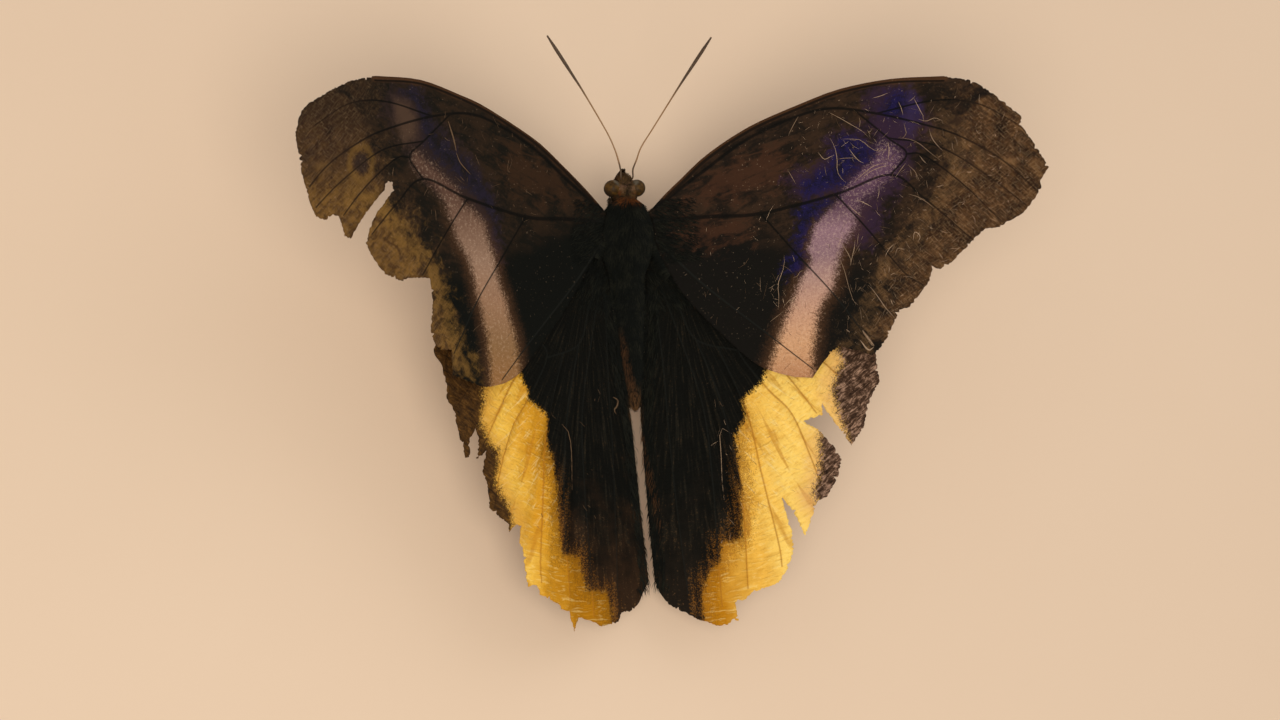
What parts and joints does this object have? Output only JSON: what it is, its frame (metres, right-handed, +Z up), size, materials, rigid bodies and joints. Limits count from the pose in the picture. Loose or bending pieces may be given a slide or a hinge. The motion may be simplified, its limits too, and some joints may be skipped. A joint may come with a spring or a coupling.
{
  "type": "owl butterfly",
  "caption": "Life-size still model of an owl butterfly standing with its wings spread and raised, dark with a pale violet band, yellow hindwing fields and torn margins.",
  "frame": {"origin": "bottom centre of the bounding box, on the floor that the feet stand on", "axes": "+Z up, +Y towards the head, +X towards the animal's right wings"},
  "size_m": [0.145, 0.1118, 0.0514],
  "materials": {
    "body_fur": "short dark fur of hair-like scales",
    "eye_facets": "glossy brown facets with a grey shine",
    "feeler_cuticle": "pale brown ringed shaft, darker club",
    "leg_cuticle": "dark brown cuticle with fine scales",
    "wing_scales": "powdery scales, near black to brown with a violet band and yellow fields, worn in places"
  },
  "bodies": {
    "root": {"head": "body_fur", "thorax": "body_fur", "abdomen": "body_fur", "palp_left": "body_fur", "palp_right": "body_fur", "eye_left": "eye_facets", "eye_right": "eye_facets", "antenna_left": "feeler_cuticle", "antenna_right": "feeler_cuticle", "proboscis": "leg_cuticle", "foreleg_left": "leg_cuticle", "foreleg_right": "leg_cuticle", "midleg_left": "leg_cuticle", "midleg_right": "leg_cuticle", "hindleg_left": "leg_cuticle", "hindleg_right": "leg_cuticle", "forewing_left": "wing_scales", "forewing_right": "wing_scales", "hindwing_left": "wing_scales", "hindwing_right": "wing_scales"}
  },
  "joints": []
}
